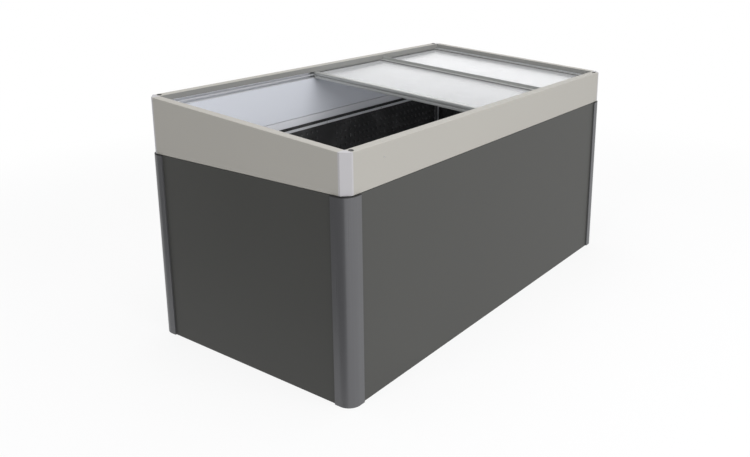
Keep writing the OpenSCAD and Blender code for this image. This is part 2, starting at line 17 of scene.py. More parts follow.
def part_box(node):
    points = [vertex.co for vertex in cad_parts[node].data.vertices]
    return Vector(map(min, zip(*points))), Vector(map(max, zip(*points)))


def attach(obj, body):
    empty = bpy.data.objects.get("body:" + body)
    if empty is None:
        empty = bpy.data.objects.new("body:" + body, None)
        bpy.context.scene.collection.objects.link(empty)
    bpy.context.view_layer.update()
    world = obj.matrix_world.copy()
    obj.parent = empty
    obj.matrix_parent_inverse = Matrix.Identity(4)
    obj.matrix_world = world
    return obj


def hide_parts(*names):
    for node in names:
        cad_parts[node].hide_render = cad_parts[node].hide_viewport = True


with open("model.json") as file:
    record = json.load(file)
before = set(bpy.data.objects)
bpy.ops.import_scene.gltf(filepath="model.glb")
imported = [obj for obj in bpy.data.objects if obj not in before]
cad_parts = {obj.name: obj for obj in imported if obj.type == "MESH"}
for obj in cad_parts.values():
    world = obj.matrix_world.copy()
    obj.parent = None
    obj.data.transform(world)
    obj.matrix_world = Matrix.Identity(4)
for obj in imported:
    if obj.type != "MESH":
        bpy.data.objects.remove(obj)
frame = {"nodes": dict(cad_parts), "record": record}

LOG = logging.getLogger("cold_frame")
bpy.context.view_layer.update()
MM = 0.001
TOUCHING = 0.01 * MM
AT_AXIS = 0.1 * MM
Colour = tuple[float, float, float]
Paint = Colour | bpy.types.NodeSocket
Triple = tuple[float, float, float]
WHITE: Colour = (1.0, 1.0, 1.0)
UP: Triple = (0, 0, 1)
DOWN: Triple = (0, 0, -1)
SIDES = ((-1, -1), (-1, 1), (1, -1), (1, 1))


class Slot(Enum):
    """Finish slots of the record."""

    DARK_PANEL = "dark_panel"
    DARK_POST = "dark_post"
    LIGHT_WALL = "light_wall"
    LIGHT_CORNER = "light_corner"
    MILL_ALUMINIUM = "mill_aluminium"
    LID_ALUMINIUM = "lid_aluminium"
    FROSTED_PANE = "frosted_pane"
    BLACK_LINER = "black_liner"
    BLACK_PLASTIC = "black_plastic"
    BLACK_RUBBER = "black_rubber"
    GALVANISED_STEEL = "galvanised_steel"
    GALVANISED_WIRE = "galvanised_wire"
    ZINC_FASTENERS = "zinc_fasteners"


class Grain(Enum):
    """Direction that an extrusion's drawing lines run in, as the stretch of a noise along X, Y and Z."""

    LENGTH = (1.5, 260.0, 260.0)
    WIDTH = (260.0, 1.5, 260.0)
    HEIGHT = (260.0, 260.0, 1.5)


# ---- the frame's own geometry


@dataclass(frozen=True)
class Slope:
    """The rim's slope from the low front to the high back, as the walls' boxes give it."""

    y: float
    z: float
    angle: float

    @classmethod
    def measured(cls) -> "Slope":
        """Takes the slope from the front wall's inner edge and the left wall's back end."""
        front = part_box("wall_front")[1]
        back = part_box("wall_left")[1]
        return cls(front.y, front.z, math.atan2(back.z - front.z, back.y - front.y))

    def height(self, y: "float | Signal") -> "float | Signal":
        """Height of the rim at a depth y."""
        return (y - self.y) * math.tan(self.angle) + self.z

    def turn(self) -> Matrix:
        """Rotation from a level part to one that lies on the slope."""
        return Matrix.Rotation(self.angle, 4, "X")


SLOPE = Slope.measured()


# ---- shader building


class Signal:
    """A shader socket that takes part in arithmetic: each operator adds one Math node."""

    def __init__(self, shader: "Shader", socket: bpy.types.NodeSocket) -> None:
        """Wraps one output socket of a shader."""
        self.shader = shader
        self.socket = socket

    def _math(self, operation: str, *values: "Signal | float") -> "Signal":
        """Adds a Math node for an operation on the given values."""
        made = self.shader.node("ShaderNodeMath", {"operation": operation}, dict(enumerate(values)))
        return Signal(self.shader, made.outputs[0])

    def __add__(self, other: "Signal | float") -> "Signal":
        """Sum."""
        return self._math("ADD", self, other)

    __radd__ = __add__

    def __mul__(self, other: "Signal | float") -> "Signal":
        """Product."""
        return self._math("MULTIPLY", self, other)

    __rmul__ = __mul__

    def __sub__(self, other: "Signal | float") -> "Signal":
        """Difference."""
        return self._math("SUBTRACT", self, other)

    def __rsub__(self, other: float) -> "Signal":
        """Difference from a plain number."""
        return self._math("SUBTRACT", other, self)

    def __abs__(self) -> "Signal":
        """Absolute value."""
        return self._math("ABSOLUTE", self)

    def __gt__(self, limit: "Signal | float") -> "Signal":
        """One where the signal is above the limit, and nought elsewhere."""
        return self._math("GREATER_THAN", self, limit)

    def lesser(self, other: "Signal | float") -> "Signal":
        """The smaller of two signals."""
        return self._math("MINIMUM", self, other)

    def ramp(self, start: float, end: float) -> "Signal":
        """A smooth step from nought at start to one at end.

        Args:
            start: Value at which the step begins.
            end: Value at which it is complete.

        Returns:
            The stepped signal.
        """
        made = self.shader.node(
            "ShaderNodeMapRange",
            {"interpolation_type": "SMOOTHSTEP", "clamp": True},
            {"Value": self, "From Min": start, "From Max": end},
        )
        return Signal(self.shader, made.outputs[0])


class NodeTree:
    """A node tree that starts empty and gets its nodes through one method."""

    def __init__(self, tree: bpy.types.NodeTree) -> None:
        """Empties a tree and takes it over."""
        self.tree = tree
        self.tree.nodes.clear()

    def node(self, kind: str, settings: dict | None = None, inputs: dict | None = None) -> bpy.types.Node:
        """Adds a node.

        Args:
            kind: Blender's name of the node's type.
            settings: Properties of the node, set before its sockets.
            inputs: A value, a socket or a Signal for each input socket, by name or index.

        Returns:
            The new node.
        """
        made = self.tree.nodes.new(kind)
        for key, value in (settings or {}).items():
            setattr(made, key, value)
        for key, value in (inputs or {}).items():
            socket = value.socket if isinstance(value, Signal) else value
            if isinstance(socket, bpy.types.NodeSocket):
                self.tree.links.new(socket, made.inputs[key])
            else:
                made.inputs[key].default_value = socket
        return made


class Shader(NodeTree):
    """A material's node tree."""

    def __init__(self, name: str) -> None:
        """Starts an empty material of a name."""
        self.material = bpy.data.materials.new(name)
        self.material.use_nodes = True
        super().__init__(self.material.node_tree)
        self._coordinates: bpy.types.NodeSocket | None = None

    def place(self) -> bpy.types.NodeSocket:
        """The object's own coordinates, in metres."""
        if self._coordinates is None:
            self._coordinates = self.node("ShaderNodeTexCoord").outputs["Object"]
        return self._coordinates

    def axes(self) -> tuple[Signal, Signal, Signal]:
        """The X, Y and Z of the object's own coordinates."""
        split = self.node("ShaderNodeSeparateXYZ", inputs={0: self.place()})
        return tuple(Signal(self, socket) for socket in split.outputs)

    def stretched(self, scale: Triple) -> bpy.types.NodeSocket:
        """The coordinates, scaled along each axis."""
        return self.node("ShaderNodeMapping", inputs={"Vector": self.place(), "Scale": scale}).outputs[0]

    def noise(self, scale: float, detail: float = 2.0, vector: bpy.types.NodeSocket | None = None) -> Signal:
        """Cloudy noise from nought to one.

        Args:
            scale: Features per metre, or per unit of the vector.
            detail: Octaves of finer noise.
            vector: Coordinates, where they aren't the object's own.

        Returns:
            The noise's value.
        """
        made = self.node(
            "ShaderNodeTexNoise",
            inputs={"Vector": vector or self.place(), "Scale": scale, "Detail": detail},
        )
        return Signal(self, made.outputs["Fac"])

    def cells(self, scale: float) -> Signal:
        """Patches of one tone each, with so many per metre."""
        made = self.node("ShaderNodeTexVoronoi", inputs={"Vector": self.place(), "Scale": scale})
        parts = self.node("ShaderNodeSeparateColor", inputs={0: made.outputs["Color"]})
        return Signal(self, parts.outputs[0])

    def blend(self, factor: Signal, first: Paint, second: Paint) -> bpy.types.NodeSocket:
        """Mixes two colours by a factor."""
        sockets = {0: factor, 6: _rgba(first), 7: _rgba(second)}
        return self.node("ShaderNodeMix", {"data_type": "RGBA"}, sockets).outputs[2]

    def bump(self, height: Signal, depth: float) -> bpy.types.NodeSocket:
        """A normal bumped by a height, with a depth in metres."""
        return self.node("ShaderNodeBump", inputs={"Height": height, "Distance": depth}).outputs[0]

    def surface(self, **inputs: object) -> bpy.types.Material:
        """Ends the tree with a Principled surface.

        Args:
            **inputs: Values or links, under the socket's name with underscores for spaces.

        Returns:
            The finished material.
        """
        named = {key.replace("_", " "): value for key, value in inputs.items()}
        return self.finish(self.node("ShaderNodeBsdfPrincipled", inputs=named))

    def finish(self, last: bpy.types.Node) -> bpy.types.Material:
        """Ends the tree with any surface node."""
        self.node("ShaderNodeOutputMaterial", inputs={"Surface": last.outputs[0]})
        return self.material


def varied(level: float, *parts: tuple[Signal, float]) -> Signal:
    """A level that signals from nought to one move up and down.

    Args:
        level: The value where every signal is at a half.
        *parts: Each signal with the width of its effect.

    Returns:
        The varied level.
    """
    base = level - sum(width for _, width in parts) / 2
    return sum((signal * width for signal, width in parts), start=base)


def _rgba(value: Paint) -> object:
    """A colour with an alpha of one, or a socket as it is."""
    return (*value, 1.0) if isinstance(value, tuple) else value


def _scaled(colour: Colour, factor: float) -> Colour:
    """A colour made lighter or darker by a factor."""
    return tuple(min(1.0, c * factor) for c in colour)


# ---- finishes


class Finish(Protocol):
    """What every finish offers."""

    def build(self, name: str) -> bpy.types.Material:
        """Makes a material of a name."""


@dataclass(frozen=True)
class OrangePeel:
    """Texture of baked powder coat: slow clouds of tone with a fine grain."""

    clouds_per_metre: float = 2.2
    grains_per_metre: float = 700.0
    cloud_share: float = 0.6
    depth: float = 0.05 * MM

    def build(self, shader: Shader, roughness: float) -> tuple[Signal, Signal, bpy.types.NodeSocket]:
        """Adds the texture to a shader.

        Args:
            shader: The coat's shader.
            roughness: The coat's mean roughness.

        Returns:
            The tone from nought to one, the roughness, and the bumped normal.
        """
        cloud = shader.noise(self.clouds_per_metre, 3.0)
        grain = shader.noise(self.grains_per_metre)
        tone = cloud * self.cloud_share + grain * (1.0 - self.cloud_share)
        return tone, varied(roughness, (cloud, 0.06), (grain, 0.08)), shader.bump(grain, self.depth)


@dataclass(frozen=True)
class PowderCoat:
    """Baked powder coat of an even colour.

    An inner colour, where there is one, covers the sheet's inner side from a depth behind the outer face.
    """

    colour: Colour
    roughness: float
    mottle: float = 0.06
    inner_colour: Colour | None = None
    inner_depth: float = 0.0
    inner_roughness: float = 0.3
    peel: OrangePeel = OrangePeel()

    def build(self, name: str) -> bpy.types.Material:
        """Makes the material."""
        shader = Shader(name)
        tone, rough, normal = self.peel.build(shader, self.roughness)
        dark, light = (_scaled(self.colour, 1.0 + sign * self.mottle) for sign in (-1, 1))
        colour = shader.blend(tone, dark, light)
        if self.inner_colour:
            inside = shell_depth(shader) > self.inner_depth
            colour = shader.blend(inside, colour, self.inner_colour)
            rough = rough + inside * (self.inner_roughness - self.roughness)
        return shader.surface(Base_Color=colour, Roughness=rough, Normal=normal)


@dataclass(frozen=True)
class WallCoat:
    """Powder coat of the cold frame: its inner sides are painted a bright bluish white, partly a lighter
    inner face and partly painted light standing in for the reflection of the light from above, with a darker
    band near the rim.
    """

    outer: Colour
    inner_and_painted_light: Colour
    nose: Colour
    roughness: float = 0.5
    mottle: float = 0.025
    inner_mottle: float = 0.04
    inner_smoothing: float = 0.15
    wall: float = 34.5 * MM
    nose_depth: float = 22.0 * MM
    peel: OrangePeel = OrangePeel()

    def build(self, name: str) -> bpy.types.Material:
        """Makes the material."""
        shader = Shader(name)
        tone, rough, normal = self.peel.build(shader, self.roughness)
        _, y, z = shader.axes()
        inside = shell_depth(shader) > self.wall
        below = (SLOPE.height(y) - z) > self.nose_depth
        dark, light = (_scaled(self.outer, 1.0 + sign * self.mottle) for sign in (-1, 1))
        # The inner colour is partly the inner face's own lighter tone and partly painted light: brightened
        # and tinted blue for the reflection of the light from above.
        inner_and_painted_light = shader.blend(tone, _scaled(self.inner_and_painted_light, 1.0 - self.inner_mottle), self.inner_and_painted_light)
        return shader.surface(
            Base_Color=shader.blend(
                inside, shader.blend(tone, dark, light), shader.blend(below, self.nose, inner_and_painted_light)
            ),
            Roughness=rough - inside * self.inner_smoothing,
            Normal=normal,
        )


@dataclass(frozen=True)
class DrawnAluminium:
    """Anodised extrusion, with faint die lines along its length."""

    colour: Colour
    roughness: float
    grain: Grain
    metallic: float
    gloss: float = 0.0
    gloss_roughness: float = 0.16
    line_depth: float = 0.03 * MM

    def build(self, name: str) -> bpy.types.Material:
        """Makes the material."""
        shader = Shader(name)
        lines = shader.noise(1.0, 3.0, shader.stretched(self.grain.value))
        cloud = shader.noise(4.0)
        dark, light = _scaled(self.colour, 0.9), _scaled(self.colour, 1.07)
        return shader.surface(
            Base_Color=shader.blend(lines * 0.7 + cloud * 0.3, dark, light),
            Roughness=varied(self.roughness, (lines, 0.14)),
            Metallic=self.metallic,
            Coat_Weight=self.gloss,
            Coat_Roughness=self.gloss_roughness,
            Normal=shader.bump(lines, self.line_depth),
        )


@dataclass(frozen=True)
class Galvanised:
    """Zinc-coated steel with crystal spangles."""

    colour: Colour
    roughness: float
    spangles_per_metre: float = 110.0
    metallic: float = 0.85
    depth: float = 0.04 * MM

    def build(self, name: str) -> bpy.types.Material:
        """Makes the material."""
        shader = Shader(name)
        tone = shader.cells(self.spangles_per_metre)
        fine = shader.noise(900.0)
        dark, light = _scaled(self.colour, 0.78), _scaled(self.colour, 1.12)
        return shader.surface(
            Base_Color=shader.blend(tone, dark, light),
            Roughness=varied(self.roughness, (tone, 0.16), (fine, 0.06)),
            Metallic=self.metallic,
            Normal=shader.bump(tone * 0.3 + fine, self.depth),
        )


@dataclass(frozen=True)
class Polymer:
    """Moulded plastic, rubber or film, with a fine mould texture and a little dust."""

    colour: Colour
    roughness: float
    dust: float = 0.04
    texture_per_metre: float = 900.0
    texture_depth: float = 0.06 * MM

    def build(self, name: str) -> bpy.types.Material:
        """Makes the material."""
        shader = Shader(name)
        texture = shader.noise(self.texture_per_metre, 3.0)
        cloud = shader.noise(7.0, 4.0)
        dusty = tuple(c + self.dust for c in self.colour)
        return shader.surface(
            Base_Color=shader.blend(cloud.ramp(0.45, 0.8), self.colour, dusty),
            Roughness=varied(self.roughness, (texture, 0.12), (cloud, 0.1)),
            Normal=shader.bump(texture, self.texture_depth),
        )


@dataclass(frozen=True)
class FrostedPane:
    """Frosted safety glass: milky, half see-through, with a fine etched tooth and a soft gloss."""

    colour: Colour
    cover: float
    roughness: float
    gloss_roughness: float = 0.17
    tooth_depth: float = 0.03 * MM

    def build(self, name: str) -> bpy.types.Material:
        """Makes the material."""
        shader = Shader(name)
        tooth = shader.noise(1400.0)
        cloud = shader.noise(3.0, 3.0)
        return shader.surface(
            Base_Color=shader.blend(cloud, _scaled(self.colour, 0.96), self.colour),
            Roughness=varied(self.roughness, (tooth, 0.1), (cloud, 0.08)),
            Alpha=varied(self.cover, (cloud, 0.06)),
            Coat_Weight=1.0,
            Coat_Roughness=self.gloss_roughness,
            Normal=shader.bump(tooth, self.tooth_depth),
        )


def shell_depth(shader: Shader) -> Signal:
    """Depth behind the panels' outer faces, whichever of the four sides is nearer."""
    low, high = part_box("wall_front")[0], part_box("wall_right")[1]
    x, y, _ = shader.axes()
    return (high.x - abs(x)).lesser(-low.y - abs(y))


FINISHES: dict[Slot, Finish] = {
    Slot.DARK_PANEL: PowderCoat(
        (0.061, 0.0615, 0.0575), 0.42, inner_colour=(0.74, 0.75, 0.79), inner_depth=3.0 * MM
    ),
    Slot.DARK_POST: DrawnAluminium((0.178, 0.179, 0.188), 0.3, Grain.HEIGHT, metallic=0.6, gloss=0.25),
    # The light wall's second colour, its inner side, is partly painted light: a bright bluish white for the
    # reflection of the light from above.
    Slot.LIGHT_WALL: WallCoat((0.412, 0.398, 0.366), (0.76, 0.785, 0.85), (0.28, 0.28, 0.27)),
    Slot.LIGHT_CORNER: PowderCoat((0.47, 0.462, 0.48), 0.42, mottle=0.02),
    Slot.MILL_ALUMINIUM: DrawnAluminium((0.84, 0.85, 0.88), 0.36, Grain.LENGTH, metallic=0.4),
    Slot.LID_ALUMINIUM: DrawnAluminium((0.46, 0.47, 0.46), 0.42, Grain.LENGTH, metallic=0.5, gloss=1.0),
    Slot.FROSTED_PANE: FrostedPane((0.82, 0.83, 0.85), 0.5, 0.26),
    Slot.BLACK_LINER: Polymer((0.022, 0.022, 0.023), 0.5),
    Slot.BLACK_PLASTIC: Polymer((0.018, 0.018, 0.018), 0.45),
    Slot.BLACK_RUBBER: Polymer((0.02, 0.02, 0.02), 0.7),
    Slot.GALVANISED_STEEL: Galvanised((0.55, 0.56, 0.58), 0.43),
    Slot.GALVANISED_WIRE: Galvanised((0.55, 0.56, 0.58), 0.46, 260.0),
    Slot.ZINC_FASTENERS: Galvanised((0.60, 0.60, 0.61), 0.31, 700.0),
}
BAR_FINISH = DrawnAluminium((0.46, 0.47, 0.46), 0.42, Grain.WIDTH, metallic=0.5, gloss=1.0)


class Wardrobe:
    """Holds each finish once and dresses the frame's nodes in them."""

    def __init__(self) -> None:
        """Makes every finish's material."""
        self.materials = {slot: finish.build(slot.value) for slot, finish in FINISHES.items()}
        self.bar_material = BAR_FINISH.build("lid_aluminium_across")

    def material_for(self, name: str, slot: Slot) -> bpy.types.Material:
        """The material of a slot, drawn across the bed on the bars."""
        across = "_bar_" in name or "_extrusion_" in name
        return self.bar_material if across else self.materials[slot]

    def dress_frame(self) -> None:
        """Gives each CAD node the material of its slot."""
        for part in frame["record"]["subparts"]:
            material = self.material_for(part["node"], Slot(part["material_slot"]))
            node = frame["nodes"][part["node"]]
            for held in node.material_slots:
                held.material = material
            LOG.info("%s wears %s", part["node"], material.name)


# ---- workbench


@contextmanager
def editing(piece: bpy.types.Object, mode: str = "FACE") -> Iterator[None]:
    """Opens a piece in edit mode with nothing selected, and closes it at the end.

    Args:
        piece: The mesh object to shape.
        mode: What is selected: VERT, EDGE or FACE.
    """
    choose(piece)
    bpy.ops.object.mode_set(mode="EDIT")
    bpy.ops.mesh.select_mode(type=mode)
    bpy.ops.mesh.select_all(action="DESELECT")
    yield
    bpy.ops.object.mode_set(mode="OBJECT")


def put_down() -> None:
    """Selects no object."""
    bpy.ops.object.select_all(action="DESELECT")


def choose(*pieces: bpy.types.Object) -> None:
    """Selects these objects alone, the first of them active."""
    put_down()
    for piece in pieces:
        piece.select_set(True)
    bpy.context.view_layer.objects.active = pieces[0]


def pick_all() -> None:
    """Selects all of the open mesh."""
    bpy.ops.mesh.select_all(action="SELECT")


def pick(piece: bpy.types.Object, kind: str, test: Callable[[object], bool]) -> None:
    """Selects the vertices, edges or faces of an open mesh that pass a test, and no others.

    Args:
        piece: The object in edit mode.
        kind: verts, edges or faces.
        test: Whether one of them is wanted.
    """
    bpy.ops.mesh.select_all(action="DESELECT")
    mesh = bmesh.from_edit_mesh(piece.data)
    for item in [item for item in getattr(mesh, kind) if test(item)]:
        item.select_set(True)
    mesh.select_flush_mode()
    bmesh.update_edit_mesh(piece.data)


def faces_towards(direction: Triple, test: Callable[[Vector], bool]) -> Callable:
    """A test for faces that look in a direction and whose centre passes a further test."""
    wanted = Vector(direction)
    return lambda face: face.normal.dot(wanted) > 0.9 and test(face.calc_center_median())


def edges_where(test: Callable[[Vector], bool]) -> Callable:
    """A test for edges with both ends passing a test on their place."""
    return lambda edge: all(test(vertex.co) for vertex in edge.verts)


def at_axis(place: Vector) -> bool:
    """Whether a place is on the Z axis."""
    return place.xy.length < AT_AXIS


def push(offset: Triple) -> None:
    """Extrudes the selected region by an offset."""
    bpy.ops.mesh.extrude_region_move(TRANSFORM_OT_translate={"value": offset})


def push_edges(offset: Triple) -> None:
    """Extrudes the selected edges by an offset."""
    bpy.ops.mesh.extrude_edges_move(TRANSFORM_OT_translate={"value": offset})


def turn_outwards() -> None:
    """Turns all faces of the open mesh outwards."""
    pick_all()
    bpy.ops.mesh.normals_make_consistent(inside=False)


def modify(piece: bpy.types.Object, kind: str, **settings: object) -> None:
    """Adds a modifier with its settings and applies it.

    Args:
        piece: The object to change.
        kind: The modifier's type.
        **settings: Its properties.
    """
    choose(piece)
    modifier = piece.modifiers.new(kind.title(), kind)
    for key, value in settings.items():
        setattr(modifier, key, value)
    bpy.ops.object.modifier_apply(modifier=modifier.name)


def rename(piece: bpy.types.Object, name: str) -> bpy.types.Object:
    """Names an object and its mesh."""
    piece.name = piece.data.name = name
    return piece


def repeat(name: str, model: bpy.types.Object, places: list[Matrix]) -> bpy.types.Object:
    """Copies a model to each place and joins the copies.

    Args:
        name: Name of the joined piece.
        model: The model, which is used up.
        places: Where each copy goes.

    Returns:
        One piece that holds every copy.
    """
    copies = []
    for place in places:
        copy = model.copy()
        copy.data = model.data.copy()
        copy.data.transform(place)
        bpy.context.scene.collection.objects.link(copy)
        copies.append(copy)
    bpy.data.objects.remove(model)
    choose(*copies)
    bpy.ops.object.join()
    return rename(copies[0], name)


def settle(piece: bpy.types.Object) -> None:
    """Puts an object's own turn and place into its mesh."""
    choose(piece)
    bpy.ops.object.transform_apply(location=True, rotation=True, scale=True)


def hand_over(
    piece: bpy.types.Object,
    body: str,
    slot: Slot,
    wardrobe: Wardrobe,
    stands_for: list[str],
    smooth: float = 35.0,
) -> None:
    """Dresses a finished piece, sets it on its body and hides the nodes it stands for.

    Args:
        piece: The finished piece.
        body: Name of the body it moves with.
        slot: Its finish.
        wardrobe: The finishes' materials.
        stands_for: Names of the nodes that it replaces.
        smooth: Largest angle, in degrees, at which two faces still look smooth.
    """
    settle(piece)
    bpy.ops.object.shade_smooth_by_angle(angle=math.radians(smooth))
    piece.data.materials.clear()
    piece.data.materials.append(wardrobe.material_for(piece.name, slot))
    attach(piece, body)
    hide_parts(*stands_for)
    LOG.info("%s rides on %s with %d faces", piece.name, body, len(piece.data.polygons))


def quarter_turn(turns: int) -> Matrix:
    """Rotation about Z by a number of quarter turns."""
    return Matrix.Rotation(turns * math.pi / 2, 4, "Z")


def inward(place: Vector, direction: Vector) -> Matrix:
    """Turns a part's +Z to a direction and moves it to a place."""
    return Matrix.Translation(place) @ direction.to_track_quat("Z", "Y").to_matrix().to_4x4()


# ---- fasteners and plugs


@dataclass(frozen=True)
class Screw:
    """A pan-head screw with a six-lobed recess. Its head rises from the origin and its shank goes down."""

    head_r: float
    head_h: float
    shank_r: float
    shank_l: float
    sides: int = 24
    crown: float = 0.45
    land: float = 0.16
    recess_edge: float = 0.02
    recess_depth: float = 0.6
    waist: float = 0.72

    def model(self) -> bpy.types.Object:
        """Models one screw."""
        put_down()
        bpy.ops.mesh.primitive_cylinder_add(
            vertices=self.sides, radius=self.head_r, depth=self.head_h, location=(0, 0, self.head_h / 2)
        )
        screw = bpy.context.object
        settle(screw)
        with editing(screw, "EDGE"):
            pick(screw, "edges", edges_where(lambda place: place.z > self.head_h - TOUCHING))
            bpy.ops.mesh.bevel(offset=self.head_h * self.crown, segments=3)
        with editing(screw):
            pick(screw, "faces", faces_towards(UP, at_axis))
            bpy.ops.mesh.inset(thickness=self.head_r * self.land)
            bpy.ops.mesh.inset(thickness=self.head_r * self.recess_edge)
        self._lobes(screw)
        with editing(screw):
            pick(screw, "faces", faces_towards(UP, at_axis))
            push((0, 0, -self.head_h * self.recess_depth))
            pick(screw, "faces", faces_towards(DOWN, at_axis))
            bpy.ops.mesh.inset(thickness=self.head_r - self.shank_r)
            push((0, 0, -self.shank_l))
        return screw

    def _lobes(self, screw: bpy.types.Object) -> None:
        """Draws every fourth corner of the recess inwards, which leaves six lobes."""
        reach = max(v.co.xy.length for v in self._recess(screw.data))
        with editing(screw, "VERT"):
            pick(screw, "verts", lambda v: self._is_waist(v.co, reach))
            bpy.ops.transform.resize(
                value=(self.waist, self.waist, 1.0), center_override=(0, 0, self.head_h)
            )

    def _recess(self, mesh: bpy.types.Mesh) -> list[bpy.types.MeshVertex]:
        """Vertices of the innermost face on the head's top."""
        face = min(
            (f for f in mesh.polygons if f.normal.z > 0.9 and f.center.z > self.head_h * 0.9),
            key=lambda f: (f.center.xy.length > TOUCHING, f.area),
        )
        return [mesh.vertices[i] for i in face.vertices]

    def _is_waist(self, place: Vector, reach: float) -> bool:
        """Whether a vertex is one of the six corners between the recess's lobes.

        Args:
            place: The vertex's place.
            reach: The recess's radius.

        Returns:
            True for a waist's corner.
        """
        step = round(math.atan2(place.y, place.x) * self.sides / math.tau)
        on_top = place.z > self.head_h * 0.9 and abs(place.xy.length - reach) < TOUCHING
        return on_top and step % 4 == 0


@dataclass(frozen=True)
class RimPlug:
    """A round plastic plug with a crowned, slightly dished cap and a stem that goes down its hole."""

    cap_r: float = 9.0 * MM
    cap_h: float = 2.0 * MM
    stem_r: float = 6.0 * MM
    stem_l: float = 8.0 * MM

    def model(self) -> bpy.types.Object:
        """Models one plug, its cap standing on the origin."""
        put_down()
        bpy.ops.mesh.primitive_cylinder_add(
            vertices=40, radius=self.cap_r, depth=self.cap_h, location=(0, 0, self.cap_h / 2)
        )
        plug = bpy.context.object
        settle(plug)
        with editing(plug, "EDGE"):
            pick(plug, "edges", edges_where(lambda place: place.z > self.cap_h - TOUCHING))
            bpy.ops.mesh.bevel(offset=self.cap_h * 0.55, segments=4)
        with editing(plug):
            pick(plug, "faces", faces_towards(UP, at_axis))
            bpy.ops.mesh.inset(thickness=self.cap_r * 0.22)
            bpy.ops.mesh.inset(thickness=self.cap_r * 0.08, depth=-self.cap_h * 0.2)
            pick(plug, "faces", faces_towards(DOWN, at_axis))
            bpy.ops.mesh.inset(thickness=self.cap_r - self.stem_r)
            push((0, 0, -self.stem_l))
            bpy.ops.mesh.inset(thickness=1.5 * MM, depth=-1.0 * MM)
        return plug


@dataclass(frozen=True)
class WallRivet:
    """A small flat rivet head on the outer face of a long wall."""

    head_r: float = 2.8 * MM
    head_h: float = 0.7 * MM
    from_middle: float = 806.0 * MM
    below_rim: float = 51.0 * MM

    def model(self) -> bpy.types.Object:
        """Models one head, standing on the origin and rising along +Z."""
        put_down()
        bpy.ops.mesh.primitive_cylinder_add(
            vertices=20, radius=self.head_r, depth=2 * self.head_h
        )
        head = bpy.context.object
        with editing(head, "EDGE"):
            pick(head, "edges", edges_where(lambda place: place.z > self.head_h * 0.9))
            bpy.ops.mesh.bevel(offset=self.head_h * 0.8, segments=3)
        return head

    def places(self) -> list[Matrix]:
        """On the outer faces of the front and back walls, the heads outwards."""
        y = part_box("wall_back")[1].y
        return [
            inward(
                Vector((side * self.from_middle, end * y, SLOPE.height(end * y) - self.below_rim)),
                Vector((0, end, 0)),
            )
            for side, end in SIDES
        ]


@dataclass(frozen=True)
class Fasteners:
    """All the small turned parts of the bed that show."""

    corner_screw: Screw = Screw(4.5 * MM, 2.5 * MM, 2.5 * MM, 5.3 * MM)
    strip_screw: Screw = Screw(4.0 * MM, 2.4 * MM, 2.0 * MM, 9.1 * MM)
    wall_rivet: WallRivet = WallRivet()
    plug: RimPlug = RimPlug()
    strip_long: tuple[float, ...] = (-0.9, -0.45, 0.0, 0.45, 0.9)
    strip_short: tuple[float, ...] = (-0.85, 0.0, 0.85)
    strip_t: float = 2.0 * MM
    from_wall_end: float = 20.0 * MM

    def build(self, wardrobe: Wardrobe) -> None:
        """Places the screws, rivet heads and plugs."""
        zinc = Slot.ZINC_FASTENERS
        batches = (
            ("corner_pan_screws", self.corner_screw, self._corner_places(), zinc, ["corner_screws"]),
            ("strip_pan_screws", self.strip_screw, self._strip_places(), zinc, ["strip_screws"]),
            ("wall_rivet_heads", self.wall_rivet, self.wall_rivet.places(), zinc, []),
            ("rim_plug_caps", self.plug, self._plug_places(), Slot.BLACK_PLASTIC, ["rim_plugs"]),
        )
        for name, part, places, slot, stands_for in batches:
            hand_over(repeat(name, part.model(), places), "bed", slot, wardrobe, stands_for)

    def _corner_places(self) -> list[Matrix]:
        """On the walls' inner skins near each corner, the heads inwards."""
        low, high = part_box("corner_screws")
        skin_x, skin_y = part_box("wall_right")[0].x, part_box("wall_back")[0].y
        head = self.corner_screw.head_r
        levels = (low.z + head, high.z - head)
        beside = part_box("wall_front")[1].x - self.from_wall_end
        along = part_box("wall_left")[1].y - self.from_wall_end
        return [
            place
            for z in levels
            for side, end in SIDES
            for place in (
                inward(Vector((side * beside, end * skin_y, z)), Vector((0, -end, 0))),
                inward(Vector((end * skin_x, side * along, z)), Vector((-end, 0, 0))),
            )
        ]

    def _strip_places(self) -> list[Matrix]:
        """On the clamp strips, the heads inwards."""
        low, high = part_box("liner_strips")
        x, y = high.x - self.strip_t, high.y - self.strip_t
        z = (low.z + high.z) / 2
        length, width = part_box("panel_front")[1].x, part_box("panel_left")[1].y
        return [
            *(
                inward(Vector((share * length, end * y, z)), Vector((0, -end, 0)))
                for share in self.strip_long
                for end in (-1, 1)
            ),
            *(
                inward(Vector((end * x, share * width, z)), Vector((-end, 0, 0)))
                for share in self.strip_short
                for end in (-1, 1)
            ),
        ]

    def _plug_places(self) -> list[Matrix]:
        """On the rim near each corner, square to its slope."""
        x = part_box("rim_plugs")[1].x - self.plug.cap_r
        y = (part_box("wall_back")[0].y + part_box("wall_back")[1].y) / 2
        return [
            Matrix.Translation((sx * x, sy * y, SLOPE.height(sy * y))) @ SLOPE.turn()
            for sx, sy in SIDES
        ]


# ---- what lies inside the bed


